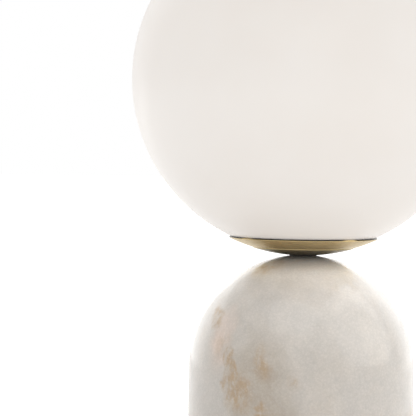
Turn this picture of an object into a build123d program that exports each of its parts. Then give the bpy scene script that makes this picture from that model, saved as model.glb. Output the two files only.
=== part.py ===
"""Glass globe table lamp.

A stone base with a domed head carries a shallow brass dish on its crown, and an opal glass globe
stands in the dish. Millimetres, +Z up. The origin is the centre of the felt pad's underside, on the
surface that the lamp stands on. The front is -Y and the cable inlet is at the back, +Y.
"""
from build123d import *
from math import cos, radians, sin, sqrt
import os

# ==== Driving dimensions ==========================================================================

# Stone base
base_diameter = 130.0
base_height = 140.0  # table to the flat on the crown
crown_flat_radius = 8.5
base_arris = 1.2  # eased lower edge
well_radius = 25.0  # recess under the base for nut and cable
well_depth = 32.0
well_corner_radius = 3.0
stem_hole_clearance = 0.75

# Felt pad
pad_thickness = 2.0
pad_inset = 4.0  # from the stone's side

# Cable inlet
inlet_height = 14.0  # table to the inlet's axis
cable_channel_radius = 5.5
cable_bore_radius = 3.2
grommet_barrel_length = 12.0
grommet_flange_radius = 8.0
grommet_flange_thickness = 2.0
grommet_proud = 0.4  # flange beyond the stone's side
spot_face_clearance = 0.3

# Threaded stem
stem_radius = 5.0
stem_bore_radius = 3.6
stem_tail = 3.0  # below the base nut
stem_entry = 8.0  # inside the lampholder's cap
washer_hole_clearance = 0.3

# Fixings under the stone
base_washer_radius = 17.0
base_washer_thickness = 2.0
lock_washer_radius = 8.6
lock_washer_thickness = 1.4
lock_washer_split = 1.6
base_nut_flats = 14.0
base_nut_height = 5.0
nut_edge_chamfer = 0.7

# Washer between the stone's crown and the brass
seat_washer_radius = 7.8
seat_washer_thickness = 0.5

# Glass globe
globe_diameter = 200.0
glass_wall = 3.0
opening_radius = 34.0  # drilled through the bottom
ground_land = 2.5  # flat ground round the opening
glass_edge_round = 0.5

# Brass dish, concentric with the globe
glass_gap = 0.4  # glass to dish
dish_wall = 0.8
dish_rim_angle = 25.1  # rim, as seen from the globe's centre, from straight down
dish_rim_round = 0.25

# Brass foot disc under the dish
foot_radius = 29.0
foot_flat_radius = 8.0
foot_edge = 0.5  # height of its straight edge
foot_stand_off = 0.3  # its underside beyond the dish's curve

# Gasket under the ground edge of the glass
gasket_inner_margin = 1.0  # inside the opening
gasket_outer_margin = 0.2  # outside the ground land
gasket_film = 0.1  # adhesive between gasket and dish

# Carrier plate and its fixings
plate_edge_gap = 3.0  # to the dish's inner corner
plate_thickness = 1.2
plate_edge_round = 0.4
carrier_washer_radius = 9.0
carrier_washer_thickness = 1.0
carrier_nut_flats = 14.0
carrier_nut_height = 3.5

# Leaf springs that hold the globe
clip_count = 3
clip_first_angle = 90.0
clip_width = 9.0
clip_thickness = 0.5
clip_bend_radius = 1.0
clip_foot_start = 14.0  # from the stem's axis
clip_foot_end = 30.6
clip_flank_angle = 40.0  # slope of the flank over the glass edge
clip_glass_gap = 0.3
clip_flank_below = 1.6  # flank before and past the glass edge
clip_flank_above = 2.6
clip_lead_height = 6.0  # sloping top that guides the glass on
clip_lead_inset = 4.0
rivet_radial_place = 19.0
rivet_radius = 1.5
rivet_head_radius = 2.7
rivet_head_height = 1.0

# Lampholder
holder_radius = 13.5
holder_wall = 1.4
holder_gap = 1.5  # above the carrier nut
neck_radius = 7.5
neck_height = 5.0
shoulder_height = 6.0
cap_height = 21.0
cap_floor = 4.0  # solid stock above the neck, round the thread
ledge_width = 1.1  # that the core stands on
core_insert = 5.0  # of the core in the cap, and again in the sleeve
tower_radius = 9.2
tower_height = 18.0
tower_clearance = 0.2
socket_floor = 2.0  # in the core's tower above its disc
shell_outer_radius = 7.5
shell_wall = 0.3
sleeve_length = 26.0
sleeve_rib = 1.5
sleeve_lip = 1.5
holder_edge_round = 0.5

# Contacts, terminals and locking screw
contact_width = 4.0
contact_thickness = 0.4
contact_rise = 2.2  # socket floor to the top of the tongue
contact_reach = 6.2  # from the axis to the fixed end
contact_pad = 1.8  # half length of the flat under the bulb
terminal_spacing = 15.0
terminal_shank_radius = 1.25
terminal_shank_length = 6.0
terminal_head_radius = 2.2
terminal_head_height = 1.8
terminal_slot_width = 0.7
terminal_slot_depth = 0.8
grub_radius = 1.5
grub_socket_flats = 1.5
grub_socket_depth = 1.2

# Bulb
bulb_diameter = 45.0
bulb_length = 78.0
bulb_tip_radius = 2.3
bulb_tip_height = 1.0
insulator_height = 3.4  # bulb's end to the cap
insulator_foot_radius = 2.8
insulator_top_radius = 5.6
bulb_cap_radius = 6.85
bulb_cap_length = 17.6
bulb_cap_wall = 0.5
collar_foot_radius = 8.2
collar_height = 20.0
collar_wall = 1.6
collar_spigot = 6.0  # inside the cap
diffuser_wall = 1.2
board_thickness = 1.2
board_clearance = 0.4
led_count = 6
led_size = 3.0
led_height = 0.8
led_circle_radius = 9.0

# ==== Derived sizes and places ====================================================================

base_radius = base_diameter / 2
stone_bottom = pad_thickness
crown_z = base_height
dome_centre_z = crown_z - sqrt(base_radius**2 - crown_flat_radius**2)
well_ceiling_z = stone_bottom + well_depth
stem_hole_radius = stem_radius + stem_hole_clearance
washer_hole_radius = stem_radius + washer_hole_clearance

spot_face_y = base_radius + grommet_proud - grommet_flange_thickness
inlet_plane = Plane(origin=(0, spot_face_y, inlet_height), x_dir=(1, 0, 0), z_dir=(0, 1, 0))

base_washer_z = well_ceiling_z - base_washer_thickness
lock_washer_z = base_washer_z - lock_washer_thickness
base_nut_z = lock_washer_z - base_nut_height
stem_bottom_z = base_nut_z - stem_tail

brass_z = crown_z + seat_washer_thickness
globe_radius = globe_diameter / 2
glass_inner_radius = globe_radius - glass_wall
dish_inner_sphere = globe_radius + glass_gap
dish_outer_sphere = dish_inner_sphere + dish_wall
foot_sphere = dish_outer_sphere + foot_stand_off
globe_z = brass_z + sqrt(foot_sphere**2 - foot_flat_radius**2)


def sphere_z(sphere_radius, at_radius):
    """Height of the lower half of a sphere about the globe's centre, at a distance from the axis."""
    return globe_z - sqrt(sphere_radius**2 - at_radius**2)


def sphere_r(sphere_radius, at_z):
    """Distance from the axis at which that sphere passes a height."""
    return sqrt(sphere_radius**2 - (globe_z - at_z) ** 2)


def sphere_mid(sphere_radius, radius_a, radius_b):
    """A point of that sphere's lower half between two distances from the axis."""
    middle = (radius_a + radius_b) / 2
    return (middle, sphere_z(sphere_radius, middle))


foot_edge_z = sphere_z(foot_sphere, foot_radius)
foot_top_z = foot_edge_z + foot_edge
floor_top_z = foot_top_z + dish_wall
floor_outer_radius = sphere_r(dish_outer_sphere, foot_top_z)
floor_inner_radius = sphere_r(dish_inner_sphere, floor_top_z)
rim_outer_radius = dish_outer_sphere * sin(radians(dish_rim_angle))
rim_outer_z = globe_z - dish_outer_sphere * cos(radians(dish_rim_angle))
rim_inner_radius = dish_inner_sphere * sin(radians(dish_rim_angle))
rim_inner_z = globe_z - dish_inner_sphere * cos(radians(dish_rim_angle))

land_radius = opening_radius + ground_land
glass_edge_z = sphere_z(globe_radius, land_radius)
glass_lip_z = sphere_z(glass_inner_radius, opening_radius)
gasket_inner_radius = opening_radius - gasket_inner_margin
gasket_outer_radius = land_radius + gasket_outer_margin
gasket_sphere = dish_inner_sphere - gasket_film

plate_z = floor_top_z
plate_top_z = plate_z + plate_thickness
plate_radius = floor_inner_radius - plate_edge_gap
carrier_nut_z = plate_top_z + carrier_washer_thickness
holder_z = carrier_nut_z + carrier_nut_height + holder_gap
stem_top_z = holder_z + stem_entry

holder_inner_radius = holder_radius - holder_wall
neck_top_z = holder_z + neck_height
shoulder_top_z = neck_top_z + shoulder_height
cap_floor_z = neck_top_z + cap_floor
cap_top_z = holder_z + cap_height
ledge_z = cap_top_z - core_insert
ledge_radius = holder_inner_radius - ledge_width
core_disc_top_z = cap_top_z + core_insert
tower_top_z = core_disc_top_z + tower_height
socket_floor_z = core_disc_top_z + socket_floor
sleeve_top_z = cap_top_z + sleeve_length
sleeve_neck_radius = tower_radius + tower_clearance
contact_top_z = socket_floor_z + contact_rise

bulb_z = contact_top_z
bulb_top_z = bulb_z + bulb_length
bulb_radius = bulb_diameter / 2
bulb_centre_z = bulb_top_z - bulb_radius
bulb_cap_z = bulb_z + insulator_height
collar_z = bulb_cap_z + bulb_cap_length
collar_top_z = collar_z + collar_height
collar_rim_radius = sqrt(bulb_radius**2 - (bulb_centre_z - collar_top_z) ** 2)
diffuser_inner_radius = bulb_radius - diffuser_wall
diffuser_foot_radius = sqrt(diffuser_inner_radius**2 - (bulb_centre_z - collar_top_z) ** 2)
board_radius = diffuser_foot_radius - board_clearance
spigot_radius = bulb_cap_radius - bulb_cap_wall

clip_angles = [clip_first_angle + turn * 360 / clip_count for turn in range(clip_count)]


def radial_plane(angle):
    """Upright plane through the axis, with x pointing outwards at that angle and y pointing up."""
    outwards = Vector(cos(radians(angle)), sin(radians(angle)), 0)
    return Plane(origin=(0, 0, 0), x_dir=outwards, z_dir=outwards.cross(Vector(0, 0, 1)))


# ==== Base ========================================================================================

# Felt pad, glued under the stone and closing its well.
with BuildPart() as base_pad:
    with BuildSketch():
        Circle(base_radius - pad_inset)
    extrude(amount=pad_thickness)

# Stone: a turned cylinder that runs into a hemispherical head with a small flat on its crown.
with BuildPart() as marble_base:
    with BuildSketch(Plane.XZ):
        with BuildLine():
            Line((0, stone_bottom), (base_radius - base_arris, stone_bottom))
            Line((base_radius - base_arris, stone_bottom), (base_radius, stone_bottom + base_arris))
            Line((base_radius, stone_bottom + base_arris), (base_radius, dome_centre_z))
            dome = RadiusArc((base_radius, dome_centre_z), (crown_flat_radius, crown_z), -base_radius)
            Polyline(dome @ 1, (0, crown_z), (0, stone_bottom))
        make_face()
    revolve(axis=Axis.Z)
    # Well for the nut and the cable, with a rounded ceiling corner.
    with BuildSketch(Plane.XY.offset(stone_bottom)):
        Circle(well_radius)
    extrude(amount=well_depth, mode=Mode.SUBTRACT)
    well_corner = marble_base.edges().filter_by(GeomType.CIRCLE).filter_by_position(
        Axis.Z, well_ceiling_z, well_ceiling_z
    )
    fillet(well_corner, well_corner_radius)
    # Way for the stem, from the well to the crown.
    with BuildSketch(Plane.XY.offset(well_ceiling_z)):
        Circle(stem_hole_radius)
    extrude(amount=crown_z - well_ceiling_z, mode=Mode.SUBTRACT)
    # Cable channel out to the back, with a spot face for the grommet's flange.
    with BuildSketch(inlet_plane):
        Circle(cable_channel_radius)
    extrude(amount=-spot_face_y, mode=Mode.SUBTRACT)
    with BuildSketch(inlet_plane):
        Circle(grommet_flange_radius + spot_face_clearance)
    extrude(amount=grommet_flange_thickness, mode=Mode.SUBTRACT)

# Rubber bush in the cable inlet: a barrel in the stone and a flange on the spot face.
with BuildPart() as cable_grommet:
    with BuildSketch(inlet_plane):
        Circle(grommet_flange_radius)
    extrude(amount=grommet_flange_thickness)
    flange_rim = cable_grommet.edges().filter_by(GeomType.CIRCLE).sort_by(Axis.Y)[-1]
    fillet(flange_rim, grommet_flange_thickness / 2)
    with BuildSketch(inlet_plane):
        Circle(cable_channel_radius)
    extrude(amount=-grommet_barrel_length)
    with Locations(inlet_plane):
        Hole(cable_bore_radius)

# ==== Stem and fixings under the stone ============================================================

# Threaded tube that ties the stack together and leads the wires up.
with BuildPart() as stem_tube:
    with BuildSketch(Plane.XY.offset(stem_bottom_z)):
        Circle(stem_radius)
        Circle(stem_bore_radius, mode=Mode.SUBTRACT)
    extrude(amount=stem_top_z - stem_bottom_z)

# Broad washer that spreads the nut's load on the stone.
with BuildPart() as base_washer:
    with BuildSketch(Plane.XY.offset(base_washer_z)):
        Circle(base_washer_radius)
        Circle(washer_hole_radius, mode=Mode.SUBTRACT)
    extrude(amount=base_washer_thickness)

# Split spring washer.
with BuildPart() as lock_washer:
    with BuildSketch(Plane.XY.offset(lock_washer_z)):
        Circle(lock_washer_radius)
        Circle(washer_hole_radius, mode=Mode.SUBTRACT)
        with Locations((lock_washer_radius / 2, 0)):
            Rectangle(lock_washer_radius * 1.2, lock_washer_split, mode=Mode.SUBTRACT)
    extrude(amount=lock_washer_thickness)

# Hexagon nut: a turned blank with chamfered rims, milled to its flats.
with BuildPart() as base_nut:
    with BuildSketch(Plane.XY.offset(base_nut_z)):
        Circle(base_nut_flats / sqrt(3))
        Circle(stem_radius, mode=Mode.SUBTRACT)
    extrude(amount=base_nut_height)
    nut_rims = base_nut.edges().filter_by(GeomType.CIRCLE).group_by(SortBy.RADIUS)[-1]
    chamfer(nut_rims, nut_edge_chamfer)
    with BuildSketch(Plane.XY.offset(base_nut_z)):
        RegularPolygon(base_nut_flats / 2, 6, major_radius=False)
    extrude(amount=base_nut_height, mode=Mode.INTERSECT)

# ==== Brass =======================================================================================

# Thin washer that keeps the brass off the stone's crown.
with BuildPart() as seat_washer:
    with BuildSketch(Plane.XY.offset(crown_z)):
        Circle(seat_washer_radius)
        Circle(washer_hole_radius, mode=Mode.SUBTRACT)
    extrude(amount=seat_washer_thickness)

# Turned disc: flat on top, its underside follows the globe's curve down to a small flat.
with BuildPart() as foot_disc:
    with BuildSketch(Plane.XZ):
        with BuildLine():
            Line((washer_hole_radius, brass_z), (foot_flat_radius, brass_z))
            underside = ThreePointArc(
                (foot_flat_radius, brass_z),
                sphere_mid(foot_sphere, foot_flat_radius, foot_radius),
                (foot_radius, foot_edge_z),
            )
            Polyline(
                underside @ 1,
                (foot_radius, foot_top_z),
                (washer_hole_radius, foot_top_z),
                (washer_hole_radius, brass_z),
            )
        make_face()
    revolve(axis=Axis.Z)

# Spun dish: a flat floor on the foot disc and a thin wall concentric with the globe.
with BuildPart() as brass_dish:
    with BuildSketch(Plane.XZ) as dish_section:
        with BuildLine():
            Line((washer_hole_radius, foot_top_z), (floor_outer_radius, foot_top_z))
            outer_curve = ThreePointArc(
                (floor_outer_radius, foot_top_z),
                sphere_mid(dish_outer_sphere, floor_outer_radius, rim_outer_radius),
                (rim_outer_radius, rim_outer_z),
            )
            Line(outer_curve @ 1, (rim_inner_radius, rim_inner_z))
            inner_curve = ThreePointArc(
                (rim_inner_radius, rim_inner_z),
                sphere_mid(dish_inner_sphere, rim_inner_radius, floor_inner_radius),
                (floor_inner_radius, floor_top_z),
            )
            Polyline(
                inner_curve @ 1,
                (washer_hole_radius, floor_top_z),
                (washer_hole_radius, foot_top_z),
            )
        make_face()
        rim_corners = dish_section.vertices().sort_by(Axis.X)[-2:]
        fillet(rim_corners, dish_rim_round)
    revolve(axis=Axis.Z)

# ==== Globe and its seat ==========================================================================

# Wedge-shaped ring: its underside lies on the dish, its flat top carries the ground glass edge.
with BuildPart() as glass_gasket:
    with BuildSketch(Plane.XZ):
        gasket_foot_z = sphere_z(gasket_sphere, gasket_inner_radius)
        gasket_toe_z = sphere_z(gasket_sphere, gasket_outer_radius)
        with BuildLine():
            gasket_curve = ThreePointArc(
                (gasket_inner_radius, gasket_foot_z),
                sphere_mid(gasket_sphere, gasket_inner_radius, gasket_outer_radius),
                (gasket_outer_radius, gasket_toe_z),
            )
            Polyline(
                gasket_curve @ 1,
                (gasket_outer_radius, glass_edge_z),
                (gasket_inner_radius, glass_edge_z),
                (gasket_inner_radius, gasket_foot_z),
            )
        make_face()
    revolve(axis=Axis.Z)

# Blown globe of even wall, drilled at the bottom and ground flat round the hole.
with BuildPart() as glass_globe:
    with BuildSketch(Plane.XZ) as glass_section:
        with BuildLine():
            outside = ThreePointArc(
                (land_radius, glass_edge_z), (globe_radius, globe_z), (0, globe_z + globe_radius)
            )
            Line(outside @ 1, (0, globe_z + glass_inner_radius))
            inside = ThreePointArc(
                (0, globe_z + glass_inner_radius),
                (glass_inner_radius, globe_z),
                (opening_radius, glass_lip_z),
            )
            Polyline(inside @ 1, (opening_radius, glass_edge_z), (land_radius, glass_edge_z))
        make_face()
        lip_corners = glass_section.vertices().filter_by_position(
            Axis.X, opening_radius, opening_radius
        )
        fillet(lip_corners, glass_edge_round)
    revolve(axis=Axis.Z)

# ==== Carrier plate and springs ===================================================================

# Steel plate on the dish's floor, drilled for the rivets.
with BuildPart() as carrier_plate:
    with BuildSketch(Plane.XY.offset(plate_z)):
        Circle(plate_radius)
        Circle(washer_hole_radius, mode=Mode.SUBTRACT)
        with PolarLocations(rivet_radial_place, clip_count, clip_first_angle):
            Circle(rivet_radius, mode=Mode.SUBTRACT)
    extrude(amount=plate_thickness)
    plate_rim = carrier_plate.edges().filter_by(GeomType.CIRCLE).group_by(SortBy.RADIUS)[-1]
    fillet(plate_rim.sort_by(Axis.Z)[-1], plate_edge_round)

# Leaf springs: a foot on the plate, a flank that hooks over the glass edge and a lead-in on top.
clip_mid_z = plate_top_z + clip_thickness / 2
flank_offset = clip_glass_gap + clip_thickness / 2
flank_cos = cos(radians(clip_flank_angle))
flank_sin = sin(radians(clip_flank_angle))
flank_radius = opening_radius - flank_offset * flank_sin
flank_z = glass_lip_z + flank_offset * flank_cos
flank_start = (flank_radius - clip_flank_below * flank_cos, flank_z - clip_flank_below * flank_sin)
flank_end = (flank_radius + clip_flank_above * flank_cos, flank_z + clip_flank_above * flank_sin)
lead_end = (flank_end[0] - clip_lead_inset, flank_end[1] + clip_lead_height)

with BuildPart() as spring_clips:
    for clip_angle in clip_angles:
        clip_plane = radial_plane(clip_angle)
        with BuildLine(clip_plane) as leaf_path:
            FilletPolyline(
                (clip_foot_start, clip_mid_z),
                (clip_foot_end, clip_mid_z),
                flank_start,
                flank_end,
                lead_end,
                radius=clip_bend_radius,
            )
        leaf_start = Plane(
            origin=leaf_path.line @ 0, x_dir=clip_plane.z_dir, z_dir=leaf_path.line % 0
        )
        with BuildSketch(leaf_start):
            Rectangle(clip_width, clip_thickness)
        sweep(path=leaf_path.line)
    with BuildSketch(Plane.XY.offset(plate_top_z)):
        with PolarLocations(rivet_radial_place, clip_count, clip_first_angle):
            Circle(rivet_radius)
    extrude(amount=clip_thickness, mode=Mode.SUBTRACT)

# Rivets with domed heads on the leaves and flush shanks in the plate.
with BuildPart() as clip_rivets:
    with BuildSketch(Plane.XY.offset(plate_z)):
        with PolarLocations(rivet_radial_place, clip_count, clip_first_angle):
            Circle(rivet_radius)
    extrude(amount=plate_thickness + clip_thickness)
    with BuildSketch(Plane.XY.offset(plate_top_z + clip_thickness)):
        with PolarLocations(rivet_radial_place, clip_count, clip_first_angle):
            Circle(rivet_head_radius)
    extrude(amount=rivet_head_height)
    head_rims = clip_rivets.edges().filter_by(GeomType.CIRCLE).group_by(Axis.Z)[-1]
    fillet(head_rims, rivet_head_height * 0.7)

with BuildPart() as carrier_washer:
    with BuildSketch(Plane.XY.offset(plate_top_z)):
        Circle(carrier_washer_radius)
        Circle(washer_hole_radius, mode=Mode.SUBTRACT)
    extrude(amount=carrier_washer_thickness)

# Hexagon nut, made like the one under the stone.
with BuildPart() as carrier_nut:
    with BuildSketch(Plane.XY.offset(carrier_nut_z)):
        Circle(carrier_nut_flats / sqrt(3))
        Circle(stem_radius, mode=Mode.SUBTRACT)
    extrude(amount=carrier_nut_height)
    nut_rims = carrier_nut.edges().filter_by(GeomType.CIRCLE).group_by(SortBy.RADIUS)[-1]
    chamfer(nut_rims, nut_edge_chamfer)
    with BuildSketch(Plane.XY.offset(carrier_nut_z)):
        RegularPolygon(carrier_nut_flats / 2, 6, major_radius=False)
    extrude(amount=carrier_nut_height, mode=Mode.INTERSECT)

# ==== Lampholder ==================================================================================

# Cap: a threaded neck on the stem, a rounded shoulder and a cup with a ledge for the core.
with BuildPart() as lampholder_cap:
    with BuildSketch(Plane.XZ):
        with BuildLine():
            Polyline((stem_radius, holder_z), (neck_radius, holder_z), (neck_radius, neck_top_z))
            shoulder = Spline(
                (neck_radius, neck_top_z),
                (holder_radius, shoulder_top_z),
                tangents=[(1, 0.25), (0, 1)],
            )
            Polyline(
                shoulder @ 1,
                (holder_radius, cap_top_z),
                (holder_inner_radius, cap_top_z),
                (holder_inner_radius, ledge_z),
                (ledge_radius, ledge_z),
                (ledge_radius, shoulder_top_z),
                (neck_radius, cap_floor_z),
                (stem_radius, cap_floor_z),
                (stem_radius, holder_z),
            )
        make_face()
    revolve(axis=Axis.Z)
    # Radial hole for the locking screw.
    grub_plane = Plane(
        origin=(0, 0, holder_z + neck_height / 2), x_dir=(0, 1, 0), z_dir=(1, 0, 0)
    )
    with BuildSketch(grub_plane):
        Circle(grub_radius)
    extrude(amount=neck_radius, mode=Mode.SUBTRACT)

# Contact block: a disc trapped between cap and sleeve, with a tower that holds the screw shell.
with BuildPart() as lampholder_core:
    with BuildSketch(Plane.XY.offset(ledge_z)):
        Circle(holder_inner_radius)
    extrude(amount=core_disc_top_z - ledge_z)
    with BuildSketch(Plane.XY.offset(core_disc_top_z)):
        Circle(tower_radius)
    extrude(amount=tower_height)
    with BuildSketch(Plane.XY.offset(socket_floor_z)):
        Circle(shell_outer_radius)
    extrude(amount=tower_top_z - socket_floor_z, mode=Mode.SUBTRACT)
    with BuildSketch(Plane.XY.offset(ledge_z)):
        with GridLocations(terminal_spacing, 0, 2, 1):
            Circle(terminal_shank_radius)
    extrude(amount=terminal_shank_length, mode=Mode.SUBTRACT)

# Sleeve: stands on the cap, its rib holds the core down and its lip surrounds the bulb's cap.
with BuildPart() as lampholder_sleeve:
    with BuildSketch(Plane.XZ) as sleeve_section:
        with BuildLine():
            Polyline(
                (holder_inner_radius, cap_top_z),
                (holder_radius, cap_top_z),
                (holder_radius, sleeve_top_z),
                (sleeve_neck_radius, sleeve_top_z),
                (sleeve_neck_radius, sleeve_top_z - sleeve_lip),
                (holder_inner_radius, sleeve_top_z - sleeve_lip),
                (holder_inner_radius, core_disc_top_z + sleeve_rib),
                (sleeve_neck_radius, core_disc_top_z + sleeve_rib),
                (sleeve_neck_radius, core_disc_top_z),
                (holder_inner_radius, core_disc_top_z),
                (holder_inner_radius, cap_top_z),
            )
        make_face()
        top_corners = sleeve_section.vertices().group_by(Axis.Y)[-1]
        fillet(top_corners, holder_edge_round)
    revolve(axis=Axis.Z)

# Threaded metal shell, the side contact.
with BuildPart() as screw_shell:
    with BuildSketch(Plane.XY.offset(socket_floor_z)):
        Circle(shell_outer_radius)
        Circle(shell_outer_radius - shell_wall, mode=Mode.SUBTRACT)
    extrude(amount=tower_top_z - socket_floor_z)

# Sprung tongue: a fixed end on the socket's floor, a ramp and a flat under the bulb.
with BuildPart() as centre_contact:
    floor_mid_z = socket_floor_z + contact_thickness / 2
    tongue_mid_z = contact_top_z - contact_thickness / 2
    with BuildLine(Plane.XZ) as tongue_path:
        FilletPolyline(
            (-contact_reach, floor_mid_z),
            (-contact_reach + contact_pad, floor_mid_z),
            (-contact_pad, tongue_mid_z),
            (contact_pad, tongue_mid_z),
            radius=contact_thickness,
        )
    with BuildSketch(Plane(origin=tongue_path.line @ 0, x_dir=(0, 1, 0), z_dir=(1, 0, 0))):
        Rectangle(contact_width, contact_thickness)
    sweep(path=tongue_path.line)

# Two wire terminals, their slotted heads under the core.
with BuildPart() as terminal_screws:
    with BuildSketch(Plane.XY.offset(ledge_z)):
        with GridLocations(terminal_spacing, 0, 2, 1):
            Circle(terminal_shank_radius)
    extrude(amount=terminal_shank_length)
    with BuildSketch(Plane.XY.offset(ledge_z)):
        with GridLocations(terminal_spacing, 0, 2, 1):
            Circle(terminal_head_radius)
    extrude(amount=-terminal_head_height)
    with BuildSketch(Plane.XY.offset(ledge_z - terminal_head_height)):
        with GridLocations(terminal_spacing, 0, 2, 1):
            Rectangle(terminal_slot_width, 2 * terminal_head_radius)
    extrude(amount=terminal_slot_depth, mode=Mode.SUBTRACT)

# Grub screw through the neck, against the stem, with a hexagon socket.
with BuildPart() as grub_screw:
    with BuildSketch(grub_plane.offset(stem_radius)):
        Circle(grub_radius)
    extrude(amount=neck_radius - stem_radius)
    with BuildSketch(grub_plane.offset(neck_radius)):
        RegularPolygon(grub_socket_flats / 2, 6, major_radius=False)
    extrude(amount=-grub_socket_depth, mode=Mode.SUBTRACT)

# ==== Bulb ========================================================================================

with BuildPart() as bulb_tip:
    with BuildSketch(Plane.XY.offset(bulb_z)):
        Circle(bulb_tip_radius)
    extrude(amount=bulb_tip_height)

# Glass insulator: a flared ring between the centre contact and the cap.
with BuildPart() as bulb_insulator:
    with BuildSketch(Plane.XZ):
        with BuildLine():
            Polyline(
                (0, bulb_z + bulb_tip_height),
                (insulator_foot_radius, bulb_z + bulb_tip_height),
                (insulator_top_radius, bulb_cap_z),
                (0, bulb_cap_z),
                (0, bulb_z + bulb_tip_height),
            )
        make_face()
    revolve(axis=Axis.Z)

# Screw cap: a thin metal cup, open towards the bulb's body.
with BuildPart() as bulb_cap:
    with BuildSketch(Plane.XY.offset(bulb_cap_z)):
        Circle(bulb_cap_radius)
    extrude(amount=bulb_cap_length)
    with BuildSketch(Plane.XY.offset(bulb_cap_z + bulb_cap_wall)):
        Circle(spigot_radius)
    extrude(amount=bulb_cap_length, mode=Mode.SUBTRACT)

# Plastic body: a spigot in the cap and a flared cup up to the dome.
with BuildPart() as bulb_collar:
    with BuildSketch(Plane.XZ):
        with BuildLine():
            Polyline(
                (0, collar_z - collar_spigot),
                (spigot_radius, collar_z - collar_spigot),
                (spigot_radius, collar_z),
                (collar_foot_radius, collar_z),
            )
            flare = Spline(
                (collar_foot_radius, collar_z),
                (collar_rim_radius, collar_top_z),
                tangents=[(0.25, 1), (0.7, 1)],
            )
            Polyline(
                flare @ 1,
                (diffuser_foot_radius, collar_top_z),
                (board_radius, collar_top_z - collar_wall),
                (0, collar_top_z - collar_wall),
                (0, collar_z - collar_spigot),
            )
        make_face()
    revolve(axis=Axis.Z)

# Board with its light-emitting chips, on the collar's shelf.
with BuildPart() as led_board:
    with BuildSketch(Plane.XY.offset(collar_top_z - collar_wall)):
        Circle(board_radius)
    extrude(amount=board_thickness)
    with BuildSketch(Plane.XY.offset(collar_top_z - collar_wall + board_thickness)):
        with PolarLocations(led_circle_radius, led_count):
            Rectangle(led_size, led_size)
    extrude(amount=led_height)

# Opal dome, a thin shell standing on the collar's rim.
with BuildPart() as bulb_diffuser:
    with BuildSketch(Plane.XZ):
        with BuildLine():
            dome_outside = ThreePointArc(
                (collar_rim_radius, collar_top_z), (bulb_radius, bulb_centre_z), (0, bulb_top_z)
            )
            Line(dome_outside @ 1, (0, bulb_top_z - diffuser_wall))
            dome_inside = ThreePointArc(
                (0, bulb_top_z - diffuser_wall),
                (diffuser_inner_radius, bulb_centre_z),
                (diffuser_foot_radius, collar_top_z),
            )
            Line(dome_inside @ 1, (collar_rim_radius, collar_top_z))
        make_face()
    revolve(axis=Axis.Z)

# ==== Export ======================================================================================

pieces = {
    "base_pad": base_pad,
    "marble_base": marble_base,
    "cable_grommet": cable_grommet,
    "stem_tube": stem_tube,
    "base_washer": base_washer,
    "lock_washer": lock_washer,
    "base_nut": base_nut,
    "seat_washer": seat_washer,
    "foot_disc": foot_disc,
    "brass_dish": brass_dish,
    "glass_gasket": glass_gasket,
    "glass_globe": glass_globe,
    "carrier_plate": carrier_plate,
    "spring_clips": spring_clips,
    "clip_rivets": clip_rivets,
    "carrier_washer": carrier_washer,
    "carrier_nut": carrier_nut,
    "lampholder_cap": lampholder_cap,
    "lampholder_core": lampholder_core,
    "lampholder_sleeve": lampholder_sleeve,
    "screw_shell": screw_shell,
    "centre_contact": centre_contact,
    "terminal_screws": terminal_screws,
    "grub_screw": grub_screw,
    "bulb_tip": bulb_tip,
    "bulb_insulator": bulb_insulator,
    "bulb_cap": bulb_cap,
    "bulb_collar": bulb_collar,
    "led_board": led_board,
    "bulb_diffuser": bulb_diffuser,
}
os.makedirs("parts", exist_ok=True)
for name, piece in pieces.items():
    piece.part.label = name
    export_step(piece.part, f"parts/{name}.step")
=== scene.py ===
"""Glass globe table lamp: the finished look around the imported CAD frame.

The frame is in metres, +Z up, with its origin under the centre of the felt pad. Turned pieces that
need finer form than their CAD solid (threads, ground glass, felt) are rebuilt here, with their
sizes in millimetres. The rest keeps its solid. Finishes and the studio are in metres.
"""
import logging
import math
from dataclasses import dataclass
from enum import Enum, IntEnum
from typing import Callable, ClassVar, Sequence

import bmesh
import bpy
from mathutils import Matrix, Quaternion, Vector


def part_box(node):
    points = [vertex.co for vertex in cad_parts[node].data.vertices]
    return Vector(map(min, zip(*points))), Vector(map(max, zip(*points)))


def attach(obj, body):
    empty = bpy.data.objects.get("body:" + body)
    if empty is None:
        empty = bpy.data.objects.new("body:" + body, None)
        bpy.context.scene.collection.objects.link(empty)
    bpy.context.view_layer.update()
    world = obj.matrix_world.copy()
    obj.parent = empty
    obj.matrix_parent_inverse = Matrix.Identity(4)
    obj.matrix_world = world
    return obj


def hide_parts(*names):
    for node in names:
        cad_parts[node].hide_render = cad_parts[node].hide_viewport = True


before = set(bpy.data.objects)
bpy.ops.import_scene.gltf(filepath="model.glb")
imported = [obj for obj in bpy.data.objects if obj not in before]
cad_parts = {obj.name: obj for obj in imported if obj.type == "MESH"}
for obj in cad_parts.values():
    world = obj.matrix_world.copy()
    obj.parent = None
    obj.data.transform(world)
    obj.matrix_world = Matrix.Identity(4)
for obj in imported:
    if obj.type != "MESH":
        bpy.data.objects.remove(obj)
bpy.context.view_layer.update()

LOG = logging.getLogger("lamp")
MM = 0.001
TURN = 2 * math.pi
ON_AXIS = 1e-6
GLOBE_RADIUS = 100.0
USUAL = (0.3, 0.7)  # where most values of a noise lie
NUMBERS = ("DISTANCE", "DOT_PRODUCT", "LENGTH")  # vector operations that give a number

Triple = tuple[float, float, float]
Colour = Triple
Point = tuple[float, float]
Ramp = tuple[float, float, float, float]  # start and end of a range, and the results at both
Socket = bpy.types.NodeSocket
Material = bpy.types.Material
Piece = bpy.types.Object
Group = bpy.types.Collection


class Body(Enum):
    """The bodies of the frame that pieces ride on."""

    BASE = "base"
    GLOBE = "globe"
    BULB = "bulb"


# ---- Shader trees ----


@dataclass(frozen=True)
class Pattern:
    """A noise's features a metre, detail and roughness, and the ramp that it goes through."""

    noise: Triple
    ramp: Ramp


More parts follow.
